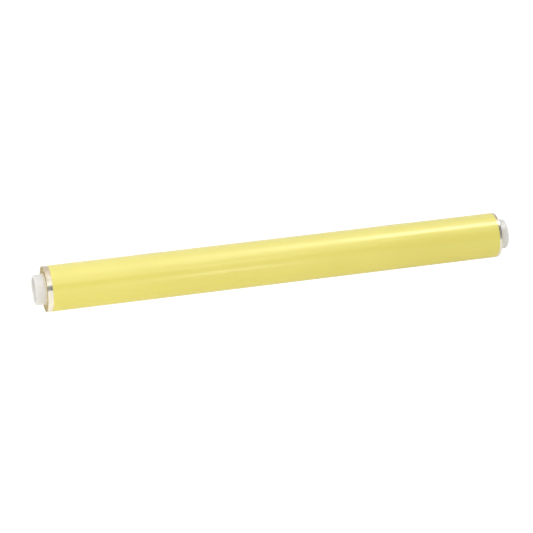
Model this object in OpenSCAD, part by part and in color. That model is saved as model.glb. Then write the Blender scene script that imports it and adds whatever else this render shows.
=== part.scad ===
// Roll of sign vinyl: one long strip of vinyl on its clear release liner, wound on a
// paperboard core that carries a removable plastic plug in each end.
// X runs along the roll, Z is up, and the origin is on the roll's axis at mid-width.

/* [Web] */
// Width of the clear release liner, which is the width of the roll
liner_w = 313; // [200:1:600]
// Bare liner showing beside the vinyl at the left end
left_margin = 3.5; // [1:0.1:10]
// Bare liner showing beside the vinyl at the right end
right_margin = 1.7; // [1:0.1:10]
// Thickness of the liner
liner_t = 0.105; // [0.08:0.005:0.15]
// Thickness of the vinyl with its adhesive
vinyl_t = 0.075; // [0.05:0.005:0.12]
// Turns wound on the core, in eighths
turns = 22.375; // [8:0.125:40]

/* [Core] */
// Outside diameter of the core
core_od = 21; // [18:0.5:30]
// Wall of the core
core_wall = 2.5; // [1.5:0.1:3]
// How far the core stands out of the web at each end
core_proud = 0.6; // [0.5:0.1:3]

/* [End plugs] */
// Diameter of the head that shows at each end
plug_d = 19.8; // [18.6:0.1:20]
// Length of that head
plug_head = 6.1; // [3:0.1:12]
// Length of the spigot inside the core
plug_spigot = 22; // [10:1:40]
// Bore through the plug for a spindle
spindle_d = 12; // [8:0.5:12.5]

/* [Free end] */
// Where the free end of the web stops, in degrees from the back of the roll towards its top
tail_end = 37.5; // [0:7.5:60]
// How much of the last turn lifts as the free end, in degrees
tail_sweep = 75; // [30:7.5:90]
// Width of each tape tab that holds the free end down
tab_w = 19; // [10:1:40]
// Distance between the two tabs' centres
tab_spacing = 170; // [60:1:180]

/* [Hidden] */
$fn = 96;

// The web is laid out in flat steps, and every turn has its corners at the same angles, so
// that the turns nest without touching.
step = 7.5;
layer_gap = 0.01;
liner_at = 0;
vinyl_at = liner_t + layer_gap;
pitch = liner_t + vinyl_t + 2 * layer_gap;

core_r = core_od / 2;
core_bore_r = core_r - core_wall;
core_len = liner_w + 2 * core_proud;

// The tape's inner corners stand off the round core so that its flats clear it
tape_t = 0.05;
tape_arc = 67.5;
tape_end_gap = 6;
tape_r = core_r / cos(step / 2) + layer_gap;

web_start_r = tape_r + tape_t + layer_gap;
web_start = tail_end - 360 * turns;
tail_start = tail_end - tail_sweep;
hinge_gap = 0.15;
vinyl_left = -liner_w / 2 + left_margin;
vinyl_right = liner_w / 2 - right_margin;

tab_t = 0.06;
tab_on_tail = 37.5;
tab_on_roll = 30;
tab_step_down = 2;

plug_r = plug_d / 2;
head_round = 0.3;
head_relief = 0.3;
recess_wall = 1.2;
recess_floor = 0.9;
rim_chamfer = 0.3;
rib_count = 8;
rib_w = 1.2;
rib_clearance = 0.02;
rib_depth = 0.23;
rib_run_out = 2.5;
lead_in = 1;
dog_count = 4;
dog_w = 1.4;
dog_h = 1.5;
dog_inner_gap = 0.3;

// Radius of the web's inner face at an angle along the spiral
function web_r(angle) = web_start_r + pitch * (angle - web_start) / 360;

// A point of a layer that lies the height h above that face
function on_web(angle, h) = (web_r(angle) + h) * [cos(angle), sin(angle)];

// The flat steps' corners from one angle to another, both ends included
function corners(from, to) =
    [from, each [for (a = [ceil(from / step + 0.01) * step : step : to - 0.01]) a], to];

// Turns a shape drawn on the XY plane so that it is extruded along X
module along_x() {
    rotate([90, 0, 90]) children();
}

// One layer of the web between two angles, from x_low to x_high
module layer(from, to, h, thickness, x_low, x_high) {
    stops = corners(from, to);
    outside = [for (a = stops) on_web(a, h + thickness)];
    inside = [for (i = [len(stops) - 1 : -1 : 0]) on_web(stops[i], h)];
    translate([x_low, 0, 0])
        along_x()
            linear_extrude(height = x_high - x_low)
                polygon(concat(outside, inside));
}

module liner_layer(from, to) {
    layer(from, to, liner_at, liner_t, -liner_w / 2, liner_w / 2);
}

module vinyl_layer(from, to) {
    layer(from, to, vinyl_at, vinyl_t, vinyl_left, vinyl_right);
}

// Paperboard tube that the web is wound on
module core_tube() {
    color("wheat")
        translate([-core_len / 2, 0, 0])
            along_x()
                difference() {
                    cylinder(h = core_len, r = core_r);
                    translate([0, 0, -1]) cylinder(h = core_len + 2, r = core_bore_r);
                }
}

// Double-sided tape along the core, under the start of the liner
module core_start_tape() {
    stops = corners(web_start, web_start + tape_arc);
    outside = [for (a = stops) (tape_r + tape_t) * [cos(a), sin(a)]];
    inside = [for (i = [len(stops) - 1 : -1 : 0]) tape_r * [cos(stops[i]), sin(stops[i])]];
    color("whitesmoke")
        translate([-liner_w / 2 + tape_end_gap, 0, 0])
            along_x()
                linear_extrude(height = liner_w - 2 * tape_end_gap)
                    polygon(concat(outside, inside));
}

// Every turn of the liner but the free end
module liner_web() {
    color("lightgray") liner_layer(web_start, tail_start);
}

// Every turn of the vinyl but the free end
module vinyl_web() {
    color("khaki") vinyl_layer(web_start, tail_start);
}

// The small gap before the free end, as an angle
function hinge_angle() = hinge_gap / web_r(tail_start) * 180 / PI;

module liner_tail() {
    color("lightgray") liner_layer(tail_start + hinge_angle(), tail_end);
}

module vinyl_tail() {
    color("khaki") vinyl_layer(tail_start + hinge_angle(), tail_end);
}

// Tape tab centred at x: it lies on the free end, steps down over its edge and lies on the
// turn below
module tail_tab(x) {
    on_tail = vinyl_at + vinyl_t + layer_gap;
    on_roll = on_tail - pitch;
    stops = corners(tail_end - tab_on_tail, tail_end);
    past = corners(tail_end + tab_step_down, tail_end + tab_on_roll);
    outside = concat([for (a = stops) on_web(a, on_tail + tab_t)],
                     [for (a = past) on_web(a, on_roll + tab_t)]);
    inside = concat([for (i = [len(past) - 1 : -1 : 0]) on_web(past[i], on_roll)],
                    [for (i = [len(stops) - 1 : -1 : 0]) on_web(stops[i], on_tail)]);
    color("white")
        translate([x - tab_w / 2, 0, 0])
            along_x()
                linear_extrude(height = tab_w)
                    polygon(concat(outside, inside));
}

module left_tail_tab() {
    tail_tab(-tab_spacing / 2);
}

module right_tail_tab() {
    tail_tab(tab_spacing / 2);
}

// Outline of a plug, turned about Z: the head is above Z = 0 and the spigot below it
module plug_outline() {
    spigot_r = core_bore_r - rib_clearance - rib_depth;
    bore_r = spindle_d / 2;
    recess_r = plug_r - recess_wall;
    rounding = [for (a = [0 : 15 : 90])
        [plug_r - head_round + head_round * cos(a), plug_head - head_round + head_round * sin(a)]];
    polygon(concat(
        [[bore_r, -plug_spigot], [spigot_r - lead_in / 2, -plug_spigot],
         [spigot_r, -plug_spigot + lead_in], [spigot_r, 0], [plug_r - head_relief, 0],
         [plug_r, head_relief]],
        rounding,
        [[recess_r + rim_chamfer, plug_head], [recess_r, plug_head - rim_chamfer],
         [recess_r, recess_floor], [bore_r, recess_floor]]));
}

// Ribs along the spigot that grip the core
module grip_ribs() {
    rib_r = core_bore_r - rib_clearance;
    intersection() {
        for (i = [0 : rib_count - 1])
            rotate([0, 0, (i + 0.5) * 360 / rib_count])
                translate([rib_r - 2 * rib_depth - 0.5, -rib_w / 2, -plug_spigot + rib_run_out])
                    cube([2 * rib_depth + 1, rib_w, plug_spigot - rib_run_out]);
        translate([0, 0, -plug_spigot]) cylinder(h = plug_spigot, r = rib_r);
    }
}

// Short dogs in the recess, by which a driving flange turns the roll
module drive_dogs() {
    recess_r = plug_r - recess_wall;
    inner_r = spindle_d / 2 + dog_inner_gap;
    for (i = [0 : dog_count - 1])
        rotate([0, 0, i * 360 / dog_count])
            translate([inner_r, -dog_w / 2, recess_floor - 0.1])
                cube([recess_r + 0.5 - inner_r, dog_w, dog_h + 0.1]);
}

module end_plug() {
    color("ghostwhite")
        translate([core_len / 2, 0, 0])
            along_x()
                union() {
                    rotate_extrude() plug_outline();
                    grip_ribs();
                    drive_dogs();
                }
}

module right_end_plug() {
    end_plug();
}

module left_end_plug() {
    mirror([1, 0, 0]) end_plug();
}

core_tube();
core_start_tape();
liner_web();
vinyl_web();
liner_tail();
vinyl_tail();
left_tail_tab();
right_tail_tab();
left_end_plug();
right_end_plug();
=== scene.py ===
"""A roll of sign vinyl: the wound web, its free end, the core and the two end plugs.

Lengths are in metres, in the CAD frame: X runs along the roll, Z is up, and the origin is on
the roll's axis. Angles round the roll are in degrees, from its back (+Y) towards its top (+Z).
"""

import math
from collections import namedtuple

import bpy
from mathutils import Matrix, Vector, noise


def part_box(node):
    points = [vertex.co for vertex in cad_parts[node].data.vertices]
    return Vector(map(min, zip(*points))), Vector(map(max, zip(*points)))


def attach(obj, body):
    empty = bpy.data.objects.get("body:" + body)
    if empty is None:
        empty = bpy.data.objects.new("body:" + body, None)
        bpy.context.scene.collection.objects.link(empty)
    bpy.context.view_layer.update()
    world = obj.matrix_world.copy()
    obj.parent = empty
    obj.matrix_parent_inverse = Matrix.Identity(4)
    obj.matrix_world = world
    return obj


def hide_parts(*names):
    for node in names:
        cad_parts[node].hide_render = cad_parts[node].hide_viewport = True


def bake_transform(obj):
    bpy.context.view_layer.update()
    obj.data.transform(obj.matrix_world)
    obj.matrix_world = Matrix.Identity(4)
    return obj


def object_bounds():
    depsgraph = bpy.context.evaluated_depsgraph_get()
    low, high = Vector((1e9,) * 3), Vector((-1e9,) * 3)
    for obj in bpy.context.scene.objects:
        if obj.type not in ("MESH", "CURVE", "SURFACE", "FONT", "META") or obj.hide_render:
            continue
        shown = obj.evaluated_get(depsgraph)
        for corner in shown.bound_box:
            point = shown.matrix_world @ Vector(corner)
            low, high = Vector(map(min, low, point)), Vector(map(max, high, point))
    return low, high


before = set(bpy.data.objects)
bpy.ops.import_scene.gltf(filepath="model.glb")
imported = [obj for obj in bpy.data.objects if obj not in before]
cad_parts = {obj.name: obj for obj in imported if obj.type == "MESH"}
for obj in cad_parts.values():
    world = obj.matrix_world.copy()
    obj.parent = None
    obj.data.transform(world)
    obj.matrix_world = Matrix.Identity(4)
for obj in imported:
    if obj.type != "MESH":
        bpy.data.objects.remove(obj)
cad_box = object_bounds()

MM = 0.001

# The web, wound by the same rule as in the CAD source
LINER_T = 0.105 * MM
VINYL_T = 0.075 * MM
LAYER_GAP = 0.01 * MM
PITCH = LINER_T + VINYL_T + 2 * LAYER_GAP
LINER_AT = 0
VINYL_AT = LINER_T + LAYER_GAP
WEB_START_R = 10.5925 * MM
TURNS = 22.375
TAIL_END = 37.5
TAIL_SWEEP = 75.0
WEB_START = TAIL_END - 360 * TURNS
TAIL_START = TAIL_END - TAIL_SWEEP
HINGE_GAP = 0.15 * MM

# Where the liner and the vinyl end along X
LINER_LEFT, LINER_RIGHT = (p.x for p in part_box("liner_web"))
VINYL_LEFT, VINYL_RIGHT = (p.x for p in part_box("vinyl_web"))

# The tape tabs: how far they reach round the roll to each side of the free end's edge
TAB_T = 0.06 * MM
TAB_ON_TAIL = 37.5
TAB_ON_ROLL = 30.0
TAB_STEP_DOWN = 2.0

# The core and the plugs
CORE_R = 10.5 * MM
CORE_BORE_R = 8 * MM
CORE_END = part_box("core_tube")[1].x
PLUG_R = 9.9 * MM
PLUG_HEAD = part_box("right_end_plug")[1].x - CORE_END
PLUG_SPIGOT = 22 * MM
SPINDLE_R = 6 * MM


def web_r(angle):
    """Radius of the liner's inner face at an angle along the spiral."""
    return WEB_START_R + PITCH * (angle - WEB_START) / 360


def wave(x, y, z, seed):
    """Smooth noise from -1 to 1, another one for each seed."""
    return noise.noise(Vector((x + 13.7 * seed, y - 7.1 * seed, z + 3.3 * seed)))


def clamp(t):
    return max(0.0, min(1.0, t))


def eased(t):
    """Goes from 0 to 1 as t does, with a soft start and a soft stop."""
    t = clamp(t)
    return t * t * (3 - 2 * t)


def divided(start, stop, count):
    """Places from start to stop, both included, in count even steps."""
    return [start + (stop - start) * k / count for k in range(count + 1)]


def spread(start, stop, step):
    """Places from start to stop, both included, no more than step apart."""
    return divided(start, stop, max(1, math.ceil((stop - start) / step)))


def at(x, angle, r):
    """The point at a place along the roll, an angle round it and a radius."""
    a = math.radians(angle)
    return (x, r * math.cos(a), r * math.sin(a))


# ---------------------------------------------------------------- meshes

STRIP_SHARP = 30
TURNED_SHARP = 35


def new_object(name, verts, faces, materials, sharp_angle, face_slots=None):
    """A mesh object from points and faces, smooth but for edges sharper than sharp_angle."""
    mesh = bpy.data.meshes.new(name)
    mesh.from_pydata(verts, [], faces)
    for m in materials:
        mesh.materials.append(m)
    if face_slots:
        mesh.polygons.foreach_set("material_index", face_slots)
    mesh.polygons.foreach_set("use_smooth", [True] * len(mesh.polygons))
    mesh.set_sharp_from_angle(angle=math.radians(sharp_angle))
    mesh.update()
    obj = bpy.data.objects.new(name, mesh)
    bpy.context.scene.collection.objects.link(obj)
    return obj


def plain_face(x):
    return 0


def backed_face(x):
    """Slot of the liner's faces: 2 where the vinyl lies on them, and 0 where they are bare."""
    return 2 if VINYL_LEFT < x < VINYL_RIGHT else 0


def strip(name, rows, materials, slot_at=plain_face):
    """A closed strip from rows of (outer points, inner points) across the web.

    The strip's two faces get the slot that slot_at gives for a place along X, and its four
    edges get slot 1. Where a row has more points than the one before it, a single face in slot 0
    joins the two on each side.
    """
    verts, faces, slots, index = [], [], [], []
    for outer, inner in rows:
        start = len(verts)
        verts += outer + inner
        n = len(outer)
        index.append((list(range(start, start + n)), list(range(start + n, start + 2 * n))))

    def add(face, slot):
        faces.append(face)
        slots.append(slot)

    for (o0, i0), (o1, i1) in zip(index, index[1:]):
        if len(o0) == len(o1):
            for k in range(len(o0) - 1):
                slot = slot_at((verts[o0[k]][0] + verts[o0[k + 1]][0]) / 2)
                add((o0[k], o0[k + 1], o1[k + 1], o1[k]), slot)
                add((i0[k + 1], i0[k], i1[k], i1[k + 1]), slot)
        else:
            add(tuple(o0 + o1[::-1]), 0)
            add(tuple(i0[::-1] + i1), 0)
        add((o0[0], o1[0], i1[0], i0[0]), 1)
        add((o1[-1], o0[-1], i0[-1], i1[-1]), 1)
    (o, i), (p, j) = index[0], index[-1]
    add(tuple(o[::-1] + i), 1)
    add(tuple(p + j[::-1]), 1)
    return new_object(name, verts, faces, materials, STRIP_SHARP, slots)


def lathe(name, rings, materials):
    """A closed surface from rings of points, where the last ring joins the first."""
    n = len(rings[0])
    verts = [p for ring in rings for p in ring]
    faces = []
    for i in range(len(rings)):
        a, b = i * n, ((i + 1) % len(rings)) * n
        for k in range(n):
            m = (k + 1) % n
            faces.append((a + k, a + m, b + m, b + k))
    return new_object(name, verts, faces, materials, TURNED_SHARP)


# ---------------------------------------------------------------- the web

# Steps round the roll, and columns across it
COIL_STEP = 3.0
FINE_STEP = 1.5
FREE_STEP = 1.0
SEAM_STEP = 0.5
VINYL_COLUMNS = 72
BACKED_COLUMNS = 24
BARE_COLUMNS = 8

# The last turn starts here, and the free end starts at the seam, in the middle of the hinge gap
LAST_TURN = TAIL_START - 345.0
SEAM = TAIL_START + math.degrees(HINGE_GAP / 2 / web_r(TAIL_START))

# How far the web's edges wander, and how fast they do so with each turn
EDGE_DRIFT, DRIFT_RATE = 0.07 * MM, 0.31
EDGE_JITTER, JITTER_RATE = 0.05 * MM, 1.9

# Ripples of the last turn: half their height, their length along X, how many there are round
# the roll, and their seed
BANDS = (0.010 * MM, 17 * MM, 0, 1)
WAVES = (0.006 * MM, 55 * MM, 1.3, 2)
BUCKLES = (0.030 * MM, 3 * MM, 4.5, 3)
# The ripples grow over this angle, and the buckles over this distance beyond the vinyl
RIPPLE_RISE = 20.0
BUCKLE_RISE = 2.375 * MM

# The tabs' toothed ends, their height over the web, and their first row past the web's edge
TAB_TEETH = 12
TOOTH_COLUMNS = 4
TOOTH_DEPTH = 1.2
TAB_CLEARANCE = 0.004 * MM
TAB_PAST_EDGE = 0.4

# A layer's height is that of its inner face over the liner's
Layer = namedtuple("Layer", "left right height thickness seed")
LINER_LAYER = Layer(LINER_LEFT, LINER_RIGHT, LINER_AT, LINER_T, 11)
VINYL_LAYER = Layer(VINYL_LEFT, VINYL_RIGHT, VINYL_AT, VINYL_T, 12)


def edge_shift(angle, seed):
    """How far the web's edge wanders from turn to turn, which leaves fine rings at the ends."""
    turn = angle / 360
    drift = wave(turn * DRIFT_RATE, 0, 0, seed)
    jitter = wave(turn * JITTER_RATE, 5, 0, seed)
    return EDGE_DRIFT * drift + EDGE_JITTER * jitter


def ruffle(x, angle, half_height, length, rate, seed):
    """Height of one kind of ripple, from 0 to twice half_height."""
    a = math.radians(angle)
    return half_height * (1 + wave(x / length, rate * math.cos(a), rate * math.sin(a), seed))


def ripple(x, angle):
    """How far the last turn stands off the ones below: bands round the roll, faint waves, and
    small buckles in the bare liner beyond the vinyl."""
    bare = clamp(max(VINYL_LEFT - x, x - VINYL_RIGHT) / BUCKLE_RISE)
    return ruffle(x, angle, *BANDS) + ruffle(x, angle, *WAVES) + bare * ruffle(x, angle, *BUCKLES)


def columns(layer):
    """Places across a layer, closer together where the liner is bare beside the vinyl."""
    if layer is VINYL_LAYER:
        return divided(layer.left, layer.right, VINYL_COLUMNS)
    bare_left = divided(layer.left, VINYL_LEFT, BARE_COLUMNS)
    backed = divided(VINYL_LEFT, VINYL_RIGHT, BACKED_COLUMNS)
    bare_right = divided(VINYL_RIGHT, layer.right, BARE_COLUMNS)
    return bare_left[:-1] + backed + bare_right[1:]


def web_rows(layer, angles, places, rippled):
    """Rows of a layer of the web at the given angles."""
    rows = []
    for angle in angles:
        shift = edge_shift(angle, layer.seed)
        outer, inner = [], []
        for x in places:
            r = web_r(angle) + layer.height
            if rippled:
                r += ripple(x, angle) * clamp((angle - LAST_TURN) / RIPPLE_RISE)
            inner.append(at(x + shift, angle, r))
            outer.append(at(x + shift, angle, r + layer.thickness))
        rows.append((outer, inner))
    return rows


def wound_layer(name, layer, materials):
    """Every turn of a layer but its free end: plain coils, then a finely divided last turn."""
    coil_angles = spread(WEB_START, LAST_TURN, COIL_STEP)
    coils = web_rows(layer, coil_angles, [layer.left, layer.right], False)
    fine = spread(LAST_TURN, SEAM - 2 * SEAM_STEP, FINE_STEP) + [SEAM - SEAM_STEP, SEAM]
    last = web_rows(layer, fine[1:], columns(layer), True)
    return strip(name, coils + last, materials)


def free_layer(name, layer, materials, slot_at=plain_face):
    """The free end of a layer, which carries straight on from the last turn."""
    fine = [SEAM, SEAM + SEAM_STEP] + spread(SEAM + 2 * SEAM_STEP, TAIL_END, FREE_STEP)
    return strip(name, web_rows(layer, fine, columns(layer), True), materials, slot_at)


def tape_tab(name, centre, width, materials):
    """A piece of tape over the free end's edge, down onto the turn below, with toothed ends."""
    on_tail = VINYL_AT + VINYL_T + LAYER_GAP
    past_edge = spread(TAIL_END + TAB_PAST_EDGE, TAIL_END + TAB_ON_ROLL, FREE_STEP)
    angles = spread(TAIL_END - TAB_ON_TAIL, TAIL_END, FINE_STEP) + past_edge
    count = TAB_TEETH * TOOTH_COLUMNS
    rows = []
    for n, angle in enumerate(angles):
        outer, inner = [], []
        for k in range(count + 1):
            x = centre + width * (k / count - 0.5)
            reach = TOOTH_DEPTH * abs((k / TOOTH_COLUMNS) % 1 - 0.5) * 2
            a = angle
            if n == 0:
                a += reach
            if n == len(angles) - 1:
                a -= reach
            below = clamp((a - TAIL_END) / TAB_STEP_DOWN)
            r = web_r(a) + on_tail - PITCH * eased(below) + ripple(x, a) * (1 - below) + TAB_CLEARANCE
            inner.append(at(x, a, r))
            outer.append(at(x, a, r + TAB_T))
        rows.append((outer, inner))
    return strip(name, rows, materials)


# ---------------------------------------------------------------- the plugs

# Radii, and distances out from the core's end
SPIGOT_R = CORE_BORE_R - 0.25 * MM
RIB_R = CORE_BORE_R - 0.02 * MM
RECESS_R = PLUG_R - 1.2 * MM
RECESS_FLOOR = 0.9 * MM
DOG_TOP = RECESS_FLOOR + 1.5 * MM
DOG_INNER_R = SPINDLE_R + 0.3 * MM
SPIGOT_END = -PLUG_SPIGOT
RIB_END = SPIGOT_END + 2.5 * MM

RIBS = 8
RIB_HALF = 0.6 * MM
DOGS = 4
DOG_HALF = 0.7 * MM

# Edges: chamfers, roundings, the recess wall's draft and the spigot's tapered tip
BORE_CHAMFER = 0.25 * MM
MOUTH_ROUND = 0.2 * MM
FILLET = 0.35 * MM
RIM_ROUND = 0.3 * MM
HEAD_ROUND = 0.3 * MM
HEAD_RELIEF = 0.3 * MM
SHOULDER_RELIEF = 0.15 * MM
RELIEF_DEPTH = 0.12 * MM
WALL_DRAFT = 0.01 * MM
DRAFT_END = 0.5 * MM
LEAD_IN = 1.0 * MM
TIP_CHAMFER = 0.12 * MM

# How softly the dogs and the ribs rise: across them and at their ends
DOG_SOFT = 0.24 * MM
DOG_RISE = 0.12 * MM
RIB_SOFT = 0.3 * MM
RIB_RISE = 1.2 * MM
RIB_START = 0.3 * MM
RIB_START_RISE = 0.5 * MM

# Points round the plug: across a dog or a rib, in half-widths from its middle, and between
# them, in degrees from the dog's middle. FAR stands for the distance from a dog or a rib that
# isn't near
ACROSS = (-1.45, -1.2, -1.0, -0.8, -0.4, 0, 0.4, 0.8, 1.0, 1.2, 1.45)
BEFORE_RIB = (10.6, 12.0, 13.4)
AFTER_RIB = (31.6, 33.0, 34.4)
FAR = 1.0


def arc(cx, cy, radius, start, stop, count):
    """Points of a rounded corner in a profile."""
    return [(cx + radius * math.cos(math.radians(a)), cy + radius * math.sin(math.radians(a)))
            for a in divided(start, stop, count)]


def between(r0, z0, r1, z1, count):
    """Points along a straight stretch of a profile, without its two ends."""
    return list(zip(divided(r0, r1, count), divided(z0, z1, count)))[1:-1]


def plug_angles(r):
    """Places round the plug at radius r, chosen so that the sides of dogs and ribs are straight.

    Each is (angle, distance from a dog's middle, distance from a rib's middle).
    """
    spacing = 360.0 / RIBS
    made = []
    for n in range(RIBS):
        base = n * spacing
        has_dog = n % (RIBS // DOGS) == 0
        for off in [k * DOG_HALF for k in ACROSS]:
            angle = base + math.degrees(math.asin(off / r))
            made.append((angle, abs(off) if has_dog else FAR, FAR))
        made += [(base + k, FAR, FAR) for k in BEFORE_RIB]
        for off in [k * RIB_HALF for k in ACROSS]:
            angle = base + spacing / 2 + math.degrees(math.asin(off / r))
            made.append((angle, FAR, abs(off)))
        made += [(base + k, FAR, FAR) for k in AFTER_RIB]
    return made


def plug_profile():
    """The plug's outline as (radius, distance out from the core's end, kind).

    Dogs stand on points of the kinds floor and wall, and ribs on those of the kind spigot.
    """
    profile = []

    def add(points, kind="plain"):
        profile.extend((r, z, kind) for r, z in points)

    # the bore, from the spigot's end to the recess
    add([(SPINDLE_R + BORE_CHAMFER, SPIGOT_END), (SPINDLE_R, SPIGOT_END + BORE_CHAMFER)])
    add(between(SPINDLE_R, SPIGOT_END + BORE_CHAMFER, SPINDLE_R, RECESS_FLOOR - MOUTH_ROUND, 4))
    add([(SPINDLE_R, RECESS_FLOOR - MOUTH_ROUND),
         (SPINDLE_R + 0.3 * MOUTH_ROUND, RECESS_FLOOR - 0.3 * MOUTH_ROUND),
         (SPINDLE_R + MOUTH_ROUND, RECESS_FLOOR)], "floor")
    # the recess: its floor with the dogs' inner ends, and its wall with their tops
    for past_inner in (-0.02 * MM, 0.10 * MM, 0.3 * MM, 0.7 * MM):
        add([(DOG_INNER_R + past_inner, RECESS_FLOOR)], "floor")
    add(arc(RECESS_R - FILLET, RECESS_FLOOR + FILLET, FILLET, -90, 0, 5), "floor")
    for past_top in (-0.25 * MM, -0.1 * MM, 0, 0.15 * MM):
        add([(RECESS_R, DOG_TOP + past_top)], "wall")
    add([(RECESS_R + WALL_DRAFT, PLUG_HEAD - RIM_ROUND - DRAFT_END)])
    # the rim and the head's outside
    add(arc(RECESS_R + RIM_ROUND, PLUG_HEAD - RIM_ROUND, RIM_ROUND, 180, 90, 4))
    add(between(RECESS_R + RIM_ROUND, PLUG_HEAD, PLUG_R - HEAD_ROUND, PLUG_HEAD, 3))
    add(arc(PLUG_R - HEAD_ROUND, PLUG_HEAD - HEAD_ROUND, HEAD_ROUND, 90, 0, 6))
    add(between(PLUG_R, PLUG_HEAD - HEAD_ROUND, PLUG_R, HEAD_RELIEF, 5))
    add([(PLUG_R, HEAD_RELIEF), (PLUG_R - HEAD_RELIEF, 0)])
    # the shoulder, and the spigot with its ribs
    add(between(PLUG_R - HEAD_RELIEF, 0, SPIGOT_R + 2 * SHOULDER_RELIEF, 0, 3))
    add([(SPIGOT_R + SHOULDER_RELIEF, 0), (SPIGOT_R, -RELIEF_DEPTH)])
    for z in (-0.6 * MM, -1.2 * MM, -5 * MM, -10 * MM, -15 * MM):
        add([(SPIGOT_R, z)], "spigot")
    for before_end in (1.5 * MM, 0.9 * MM, 0.4 * MM, 0):
        add([(SPIGOT_R, RIB_END + before_end)], "spigot")
    tip_r = SPIGOT_R - LEAD_IN / 2
    add([(SPIGOT_R, SPIGOT_END + LEAD_IN), (tip_r, SPIGOT_END + TIP_CHAMFER),
         (tip_r - TIP_CHAMFER, SPIGOT_END)])
    add(between(tip_r - TIP_CHAMFER, SPIGOT_END, SPINDLE_R + BORE_CHAMFER, SPIGOT_END, 2))
    return profile


def raised(distance, half, soft):
    """1 inside a raised feature's half-width and 0 outside it, with a soft shoulder."""
    return eased((half + soft / 2 - distance) / soft)


def end_plug(name, side, materials):
    """A push-fit plug: ribbed spigot, shoulder, head with a recess, dogs and a spindle bore.

    Side is -1 or 1, for the left or the right end of the core.
    """
    rings = []
    for r, z, kind in plug_profile():
        ring = []
        for angle, dog, rib in plug_angles(r):
            radius, out = r, z
            if kind in ("floor", "wall"):
                inner_end = clamp((r - DOG_INNER_R) / DOG_RISE)
                out += (max(z, DOG_TOP) - z) * raised(dog, DOG_HALF, DOG_SOFT) * inner_end
            if kind == "spigot":
                far_end = clamp((z - RIB_END) / RIB_RISE)
                near_end = clamp((-RIB_START - z) / RIB_START_RISE)
                radius += (RIB_R - SPIGOT_R) * raised(rib, RIB_HALF, RIB_SOFT) * far_end * near_end
            ring.append(at(side * (CORE_END + out), angle, radius))
        rings.append(ring)
    if side < 0:
        rings = rings[::-1]
    return lathe(name, rings, materials)


# ---------------------------------------------------------------- the core

CORE_POINTS = 120
CORE_STEPS = 150
# The seam of the board's strip, which winds round the tube
GROOVE_LEAD = 45 * MM
GROOVE_DEPTH = 0.05 * MM
GROOVE_HALF = 0.5 * MM
INNER_GROOVE_SHIFT = 9 * MM
# The cut ends: their softened edges, and how uneven the cut is
CORE_LIP = 0.12 * MM
EDGE_ROUND = 0.05 * MM
EDGE_SET_BACK = 0.04 * MM
CUT_DEPTH = 0.03 * MM


def groove(x, angle):
    """Depth of the strip's seam at a place on the tube."""
    turn = (x / GROOVE_LEAD + angle / 360) % 1
    off = min(turn, 1 - turn) * GROOVE_LEAD
    return GROOVE_DEPTH * clamp(1 - off / GROOVE_HALF)


def cut_end(side, radii, slice_at, seed):
    """Rings over a cut end of the tube, on the left for side -1 and on the right for side 1."""
    rings = []
    for r in radii:
        ring = []
        for k in range(CORE_POINTS):
            set_back = EDGE_SET_BACK
            if r < CORE_R - EDGE_ROUND:
                set_back = CUT_DEPTH * (1 + wave(k * 0.35, r / MM * 3, slice_at, seed))
            ring.append(at(side * (CORE_END - set_back), 360 * k / CORE_POINTS, r))
        rings.append(ring)
    return rings


def core_tube(name, materials):
    """Spiral-wound paperboard tube: a shallow helical seam inside and out, and cut ends."""
    around = [360 * k / CORE_POINTS for k in range(CORE_POINTS)]
    along = divided(-CORE_END + CORE_LIP, CORE_END - CORE_LIP, CORE_STEPS)
    end_radii = [CORE_R - EDGE_ROUND, CORE_R - CORE_LIP, CORE_R - 0.7 * MM, CORE_R - 1.3 * MM,
                 CORE_BORE_R + CORE_LIP]
    rings = []
    for x in along:
        rings.append([at(x, a, CORE_R - groove(x, a)) for a in around])
    rings += cut_end(1, end_radii, 0, 5)
    for x in along[::-1]:
        rings.append([at(x, a, CORE_BORE_R + groove(x + INNER_GROOVE_SHIFT, a)) for a in around])
    rings += cut_end(-1, end_radii[::-1], 9, 6)
    return lathe(name, rings, materials)


# ---------------------------------------------------------------- materials

def linear(r, g, b):
    """A colour given as 0 to 255 display values."""
    def one(v):
        v /= 255
        return v / 12.92 if v <= 0.04045 else ((v + 0.055) / 1.055) ** 2.4
    return (one(r), one(g), one(b))


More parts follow.
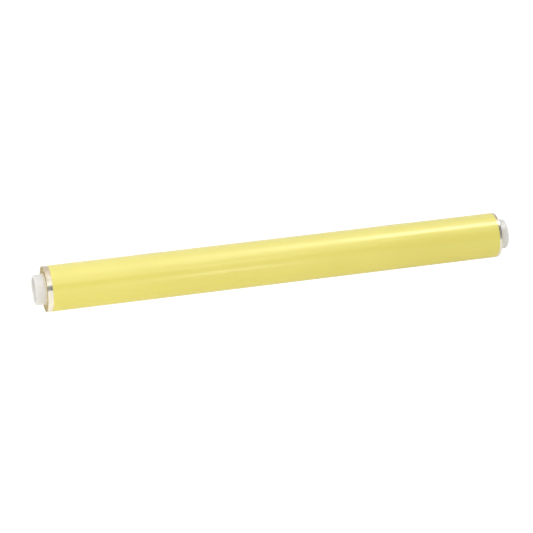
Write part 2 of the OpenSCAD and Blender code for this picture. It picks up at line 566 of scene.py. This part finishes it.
class Surface:
    """A principled material with helpers for procedural detail. Colours are display values."""

    def __init__(self, name, color, roughness, **sockets):
        self.material = bpy.data.materials.new(name)
        self.material.use_nodes = True
        self.nodes = self.material.node_tree.nodes
        self.links = self.material.node_tree.links
        self.shader = self.nodes["Principled BSDF"]
        self.shader.inputs["Base Color"].default_value = (*linear(*color), 1)
        self.shader.inputs["Roughness"].default_value = roughness
        for socket, value in sockets.items():
            self.shader.inputs[socket.replace("_", " ")].default_value = value
        self.coord = self.nodes.new("ShaderNodeTexCoord")

    def set(self, socket, output):
        self.links.new(output, self.shader.inputs[socket])

    def stretched(self, scale):
        """Object coordinates scaled by a factor along each axis, per metre."""
        mapping = self.nodes.new("ShaderNodeMapping")
        mapping.inputs["Scale"].default_value = scale
        self.links.new(self.coord.outputs["Object"], mapping.inputs["Vector"])
        return mapping.outputs["Vector"]

    def noise(self, scale, detail=3.0, roughness=0.5, vector=None):
        """Noise with features 1 / scale metres across, or 1 / scale of the given vector."""
        made = self.nodes.new("ShaderNodeTexNoise")
        made.inputs["Scale"].default_value = scale
        made.inputs["Detail"].default_value = detail
        made.inputs["Roughness"].default_value = roughness
        self.links.new(vector or self.coord.outputs["Object"], made.inputs["Vector"])
        return made.outputs["Fac"]

    def ranged(self, value, low, high, start=0.3, stop=0.7):
        """Goes from low to high as a value goes from start to stop."""
        made = self.nodes.new("ShaderNodeMapRange")
        made.inputs["From Min"].default_value = start
        made.inputs["From Max"].default_value = stop
        made.inputs["To Min"].default_value = low
        made.inputs["To Max"].default_value = high
        self.links.new(value, made.inputs["Value"])
        return made.outputs["Result"]

    def mixed(self, factor, first, second):
        """A colour between two others, each of which is a colour or a node's output."""
        made = self.nodes.new("ShaderNodeMix")
        made.data_type = "RGBA"
        for socket, color in (("A", first), ("B", second)):
            if isinstance(color, tuple):
                made.inputs[socket].default_value = (*linear(*color), 1)
            else:
                self.links.new(color, made.inputs[socket])
        self.links.new(factor, made.inputs["Factor"])
        return made.outputs["Result"]

    def clouded(self, value, first, second):
        """A colour that noise varies between two others."""
        return self.mixed(self.ranged(value, 0, 1), first, second)

    def bump(self, value, depth, after=None):
        """Bump of the given depth in metres, on top of an earlier one."""
        made = self.nodes.new("ShaderNodeBump")
        made.inputs["Distance"].default_value = depth
        self.links.new(value, made.inputs["Height"])
        if after:
            self.links.new(after, made.inputs["Normal"])
        self.set("Normal", made.outputs["Normal"])
        return made.outputs["Normal"]


def yellow_vinyl():
    s = Surface("yellow_vinyl", (229, 217, 90), 0.46, Coat_Weight=0.5, Coat_Roughness=0.13,
                Coat_IOR=1.6, Specular_IOR_Level=1.0)
    s.set("Base Color", s.clouded(s.noise(22, detail=2), (228, 215, 87), (231, 219, 93)))
    bands = s.noise(1, detail=4, vector=s.stretched((210, 1.5, 1.5)))
    s.set("Roughness", s.ranged(bands, 0.42, 0.50))
    peel = s.noise(900, detail=2)
    s.bump(peel, 0.004 * MM, after=s.bump(bands, 0.006 * MM))
    return s.material


def cut_edge(name, roughness, grain, color, low, high):
    """The cut edge of a film, with a grain 1 / grain metres fine in colours from low to high."""
    s = Surface(name, color, roughness)
    s.set("Base Color", s.clouded(s.noise(grain), low, high))
    return s.material


def release_liner():
    """Clear film over many turns of itself, which together mirror like a stack of plates. Its colour
    is painted darker and duller on top of the roll and paler underneath: painted shade that dims the
    reflections up there. The noise haze over it is the film's own."""
    s = Surface("release_liner", (215, 206, 183), 0.14, Metallic=0.80, Coat_Weight=0.4,
                Coat_Roughness=0.06, Coat_IOR=1.5)
    haze = s.noise(1, detail=3, vector=s.stretched((300, 160, 160)))
    height = s.nodes.new("ShaderNodeSeparateXYZ")
    s.links.new(s.coord.outputs["Object"], height.inputs["Vector"])
    # Painted shade: the colour turns darker and duller from 8 to 14 mm above the axis, towards the
    # top of the roll
    top = s.ranged(height.outputs["Z"], 0, 1, start=8 * MM, stop=14 * MM)
    painted_top_shade = s.clouded(haze, (178, 162, 140), (204, 192, 172))
    clear = s.clouded(haze, (230, 224, 208), (242, 237, 224))
    s.set("Base Color", s.mixed(top, clear, painted_top_shade))
    s.set("Roughness", s.ranged(haze, 0.10, 0.24))
    s.bump(s.noise(1, detail=2, vector=s.stretched((900, 500, 500))), 0.008 * MM)
    return s.material


def single_film(name, low, high, alpha):
    """One thickness of the liner, in a colour from low to high."""
    s = Surface(name, low, 0.30, Alpha=alpha, Coat_Weight=0.4, Coat_Roughness=0.18)
    haze = s.noise(1, detail=3, vector=s.stretched((300, 160, 160)))
    s.set("Base Color", s.clouded(haze, low, high))
    s.set("Roughness", s.ranged(haze, 0.26, 0.34))
    return s.material


def white_plastic():
    s = Surface("white_plastic", (229, 228, 225), 0.38, Subsurface_Weight=0.25,
                Subsurface_Scale=0.8 * MM, Coat_Weight=0.12, Coat_Roughness=0.3)
    s.shader.inputs["Subsurface Radius"].default_value = (1.0, 0.95, 0.85)
    s.set("Base Color", s.clouded(s.noise(180), (226, 225, 222), (232, 231, 228)))
    texture = s.noise(3200, detail=2)
    s.set("Roughness", s.ranged(texture, 0.33, 0.45))
    s.bump(texture, 0.010 * MM)
    return s.material


def paperboard():
    s = Surface("paperboard", (236, 227, 209), 0.85)
    fibres = s.noise(1, detail=5, roughness=0.65, vector=s.stretched((420, 1500, 1500)))
    s.set("Base Color", s.clouded(fibres, (226, 214, 193), (243, 236, 221)))
    s.bump(fibres, 0.03 * MM)
    return s.material


def mounting_tape():
    s = Surface("mounting_tape", (232, 230, 220), 0.55)
    weave = s.noise(1500, detail=2)
    s.set("Base Color", s.clouded(weave, (226, 223, 210), (238, 236, 228)))
    s.bump(weave, 0.01 * MM)
    return s.material


def tab_tape():
    """Frosted tape, through which the film's yellow shows."""
    s = Surface("tab_tape", (246, 242, 200), 0.42, Coat_Weight=0.2, Coat_Roughness=0.3, Alpha=0.82)
    frost = s.noise(1400)
    s.set("Roughness", s.ranged(frost, 0.36, 0.52))
    s.set("Base Color", s.clouded(frost, (243, 238, 188), (250, 247, 210)))
    s.bump(frost, 0.008 * MM)
    return s.material


# The strips have their faces' look in slot 0 and their cut edges' look in slot 1
VINYL = [yellow_vinyl(),
         cut_edge("vinyl_edge", 0.6, 2500, (220, 198, 84), (210, 186, 70), (230, 210, 98))]
LINER = [release_liner(),
         cut_edge("liner_edge", 0.5, 1800, (228, 208, 142), (218, 196, 126), (238, 220, 158))]
# The free end's bare liner is clear, and elsewhere the vinyl's back shows through it
FREE_LINER = [single_film("bare_film", (226, 221, 204), (240, 236, 224), 0.3), LINER[1],
              single_film("backed_film", (224, 211, 104), (232, 220, 116), 1.0)]
PLASTIC = [white_plastic()]
BOARD = [paperboard()]
TAPE = mounting_tape()
TAB = [tab_tape()] * 2


# ---------------------------------------------------------------- pieces

def place(obj, body, node):
    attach(obj, body)
    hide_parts(node)


def bend_free_end(obj, node):
    """Leaves the free end where it was built, and hides the part that it stands in for."""
    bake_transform(obj)
    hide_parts(node)


place(wound_layer("liner_turns", LINER_LAYER, LINER), "roll", "liner_web")
place(wound_layer("vinyl_turns", VINYL_LAYER, VINYL), "roll", "vinyl_web")
bend_free_end(free_layer("liner_free_end", LINER_LAYER, FREE_LINER, backed_face),
              "liner_tail")
bend_free_end(free_layer("vinyl_free_end", VINYL_LAYER, VINYL), "vinyl_tail")
for side in ("left", "right"):
    low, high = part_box(side + "_tail_tab")
    place(tape_tab(side + "_tape_tab", (low.x + high.x) / 2, high.x - low.x, TAB),
          "web_tail", side + "_tail_tab")
place(end_plug("left_plug_moulding", -1, PLASTIC), "left_plug", "left_end_plug")
place(end_plug("right_plug_moulding", 1, PLASTIC), "right_plug", "right_end_plug")
place(core_tube("core_wound_tube", BOARD), "roll", "core_tube")
start_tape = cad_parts["core_start_tape"]
start_tape.data.materials.clear()
start_tape.data.materials.append(TAPE)


# ---------------------------------------------------------------- camera

YAW, ELEVATION = -15.85, 25.28
CAMERA_LENS = 153.5
CAMERA_DISTANCE = 1.5185
# The point that the camera aims at, measured from the origin across its view
AIM_RIGHT, AIM_UP = -0.0057, -0.0035


def direction(azimuth, elevation):
    """A unit vector from the roll, where azimuth 0 is towards its front and 90 to its right."""
    a, e = math.radians(azimuth), math.radians(elevation)
    return Vector((math.sin(a) * math.cos(e), -math.cos(a) * math.cos(e), math.sin(e)))


back = direction(YAW, ELEVATION)
right = Vector((math.cos(math.radians(YAW)), math.sin(math.radians(YAW)), 0))
up = back.cross(right)

camera = bpy.data.objects.new("camera", bpy.data.cameras.new("camera"))
bpy.context.scene.collection.objects.link(camera)
camera.data.lens = CAMERA_LENS
camera.data.clip_start = 0.05
camera.data.clip_end = 50
camera.location = AIM_RIGHT * right + AIM_UP * up + back * CAMERA_DISTANCE
camera.rotation_mode = "QUATERNION"
camera.rotation_quaternion = (-back).to_track_quat("-Z", "Y")
bpy.context.scene.camera = camera
bpy.context.scene.view_settings.view_transform = "Standard"


# ---------------------------------------------------------------- stage

FLOOR_Z = cad_box[0].z
FLOOR_HALF = 6
BACKDROP_RADIUS = 5.9
BACKDROP_TOP = 6
WHITE = (1, 1, 1)
CARD_WHITE = (1, 1, 0.98)


def glow(name, color, strength, base=(0, 0, 0)):
    material = bpy.data.materials.new(name)
    material.use_nodes = True
    shader = material.node_tree.nodes["Principled BSDF"]
    shader.inputs["Base Color"].default_value = (*base, 1)
    shader.inputs["Roughness"].default_value = 0.9
    shader.inputs["Specular IOR Level"].default_value = 0.0
    shader.inputs["Emission Color"].default_value = (*color, 1)
    shader.inputs["Emission Strength"].default_value = strength
    return material


def fading_glow(name, near, far, x_near, x_far, color=CARD_WHITE, base=(0, 0, 0)):
    """A glow whose strength goes from near to far between two places along X."""
    material = glow(name, color, near, base)
    nodes, links = material.node_tree.nodes, material.node_tree.links
    coord = nodes.new("ShaderNodeTexCoord")
    split = nodes.new("ShaderNodeSeparateXYZ")
    fade = nodes.new("ShaderNodeMapRange")
    fade.inputs["From Min"].default_value = x_near
    fade.inputs["From Max"].default_value = x_far
    fade.inputs["To Min"].default_value = near
    fade.inputs["To Max"].default_value = far
    links.new(coord.outputs["Object"], split.inputs["Vector"])
    links.new(split.outputs["X"], fade.inputs["Value"])
    links.new(fade.outputs["Result"], nodes["Principled BSDF"].inputs["Emission Strength"])
    return material


def seen_only_by(obj, kinds):
    for kind in ("camera", "diffuse", "glossy", "transmission", "shadow"):
        setattr(obj, "visible_" + kind, kind in kinds)


def stage_mesh(name, verts, faces, material, only):
    """A mesh around the roll that only the given kinds of rays see."""
    mesh = bpy.data.meshes.new(name)
    mesh.from_pydata(verts, [], faces)
    mesh.materials.append(material)
    obj = bpy.data.objects.new(name, mesh)
    bpy.context.scene.collection.objects.link(obj)
    seen_only_by(obj, only)


def level_card(name, x_low, x_high, y_low, y_high, z, material, only=("glossy",)):
    """A level rectangle."""
    corners = [(x_low, y_low, z), (x_high, y_low, z), (x_high, y_high, z), (x_low, y_high, z)]
    stage_mesh(name, corners, [(0, 1, 2, 3)], material, only)


def wide_floor(name, z, material, only):
    """A level square, FLOOR_HALF metres each way from the roll."""
    level_card(name, -FLOOR_HALF, FLOOR_HALF, -FLOOR_HALF, FLOOR_HALF, z, material, only)


def round_wall(name, radius, z_low, z_high, material, only):
    """A wall all round the roll."""
    n = 48
    verts = []
    for k in range(n):
        a = 2 * math.pi * k / n
        verts += [(radius * math.cos(a), radius * math.sin(a), z) for z in (z_low, z_high)]
    faces = [(2 * k, (2 * k + 2) % (2 * n), (2 * k + 3) % (2 * n), 2 * k + 1) for k in range(n)]
    stage_mesh(name, verts, faces, material, only)


def curved_card(name, low, high, radius, x_left, x_right, material):
    """Part of a tube round the X axis, from one elevation in front of the roll to another."""
    steps = 24
    verts = []
    for elevation in divided(low, high, steps):
        e = math.radians(elevation)
        verts += [(x, -radius * math.cos(e), radius * math.sin(e)) for x in (x_left, x_right)]
    faces = [(2 * k, 2 * k + 1, 2 * k + 3, 2 * k + 2) for k in range(steps)]
    stage_mesh(name, verts, faces, material, ("glossy",))


def room_cards(room, radius, x_left, x_right, x_near, x_far):
    """Curved cards that fade between two places along X."""
    for name, (low, high, near, far) in room.items():
        material = fading_glow(name, near, far, x_near, x_far)
        curved_card(name, low, high, radius, x_left, x_right, material)


def softbox(name, azimuth, elevation, distance, width, height, radiance):
    """An area light of even radiance, aimed at the middle of the roll."""
    towards = direction(azimuth, elevation)
    light = bpy.data.lights.new(name, "AREA")
    light.shape = "RECTANGLE"
    light.size, light.size_y = width, height
    light.energy = radiance * math.pi * width * height
    obj = bpy.data.objects.new(name, light)
    bpy.context.scene.collection.objects.link(obj)
    obj.location = distance * towards
    obj.rotation_mode = "QUATERNION"
    obj.rotation_quaternion = towards.to_track_quat("Z", "Y")
    seen_only_by(obj, ("diffuse", "shadow", "transmission"))


# The camera sees an even white floor and backdrop, and other rays see a table in place of them
round_wall("backdrop", BACKDROP_RADIUS, FLOOR_Z - MM, BACKDROP_TOP,
           glow("backdrop", WHITE, 1.0), ("camera",))
wide_floor("floor", FLOOR_Z - MM, glow("floor", WHITE, 0.92, base=(0.25, 0.25, 0.25)), ("camera",))
# The table glows, and its glow is painted weaker towards the right: painted shade for a floor that is
# more shaded near the roll's right end
wide_floor("table", FLOOR_Z,
           fading_glow("table", near=0.49, far=0.37, x_near=-0.12, x_far=0.12,
                       color=(1, 0.97, 0.90), base=(0.60, 0.60, 0.57)),
           ("diffuse", "glossy", "shadow"))

world = bpy.data.worlds.new("world")
bpy.context.scene.world = world
world.use_nodes = True
world.node_tree.nodes["Background"].inputs["Color"].default_value = (*WHITE, 1)
world.node_tree.nodes["Background"].inputs["Strength"].default_value = 0.63

# What the glossy films mirror, by elevation in front of the roll: lowest, highest, and the
# radiance towards the left and the right
MIRRORED_ROOM = {"pale_front": (0, 14, 1.0, 0.15), "dark_room": (14, 38, 0.08, 0.08),
                 "ceiling_edge": (38, 58, 0.72, 0.55), "front_ceiling": (58, 74, 1.0, 0.65),
                 "ceiling": (74, 112, 1.45, 1.45), "back_wall": (112, 146, 1.35, 0.95),
                 "wall_foot": (146, 178, 1.1, 0.9)}
# The paler part of the room that the left and the middle of the yellow film mirror. It stands
# just inside the other
PALE_ROOM = {"pale_floor": (0, 14, 6.2, 0.4), "pale_gap": (14, 38, 1.7, 0.08),
             "pale_edge": (38, 58, 3.8, 0.55), "pale_ceiling": (58, 74, 3.2, 0.65),
             "pale_top": (74, 112, 2.5, 1.5)}
room_cards(MIRRORED_ROOM, radius=1.5, x_left=-1.2, x_right=2.0, x_near=0.22, x_far=0.52)
room_cards(PALE_ROOM, radius=1.47, x_left=0.245, x_right=0.46, x_near=0.26, x_far=0.45)
# The dark corner that the right end mirrors, inside both
curved_card("dark_corner", 38, 74, radius=1.45, x_left=0.505, x_right=2.0,
            material=glow("dark_corner", CARD_WHITE, 0.06))

# Level cards above the roll: left, right, front, back, and radiance
CARD_Z = 0.8
CARDS = {"strip": (0.17, 0.30, -0.06, 0.16, 3.6), "bright_strip": (0.30, 0.62, -0.115, 0.10, 9.0),
         "left_window": (-0.05, 0.17, -0.90, -0.36, 1.4),
         "middle_window": (0.17, 0.26, -0.60, -0.30, 0.7)}
for name, (x_low, x_high, y_low, y_high, radiance) in CARDS.items():
    level_card(name, x_low, x_high, y_low, y_high, CARD_Z, glow(name, CARD_WHITE, radiance))

# Soft lights: azimuth, elevation, distance, width, height and radiance
softbox("key", -38, 50, 1.2, 0.9, 0.7, 1.23)
softbox("top", 10, 86, 1.3, 1.2, 0.8, 0.42)
softbox("side_left", -80, 30, 1.1, 0.8, 0.8, 1.7)
softbox("side_right", 78, 45, 1.6, 1.0, 0.8, 0.9)
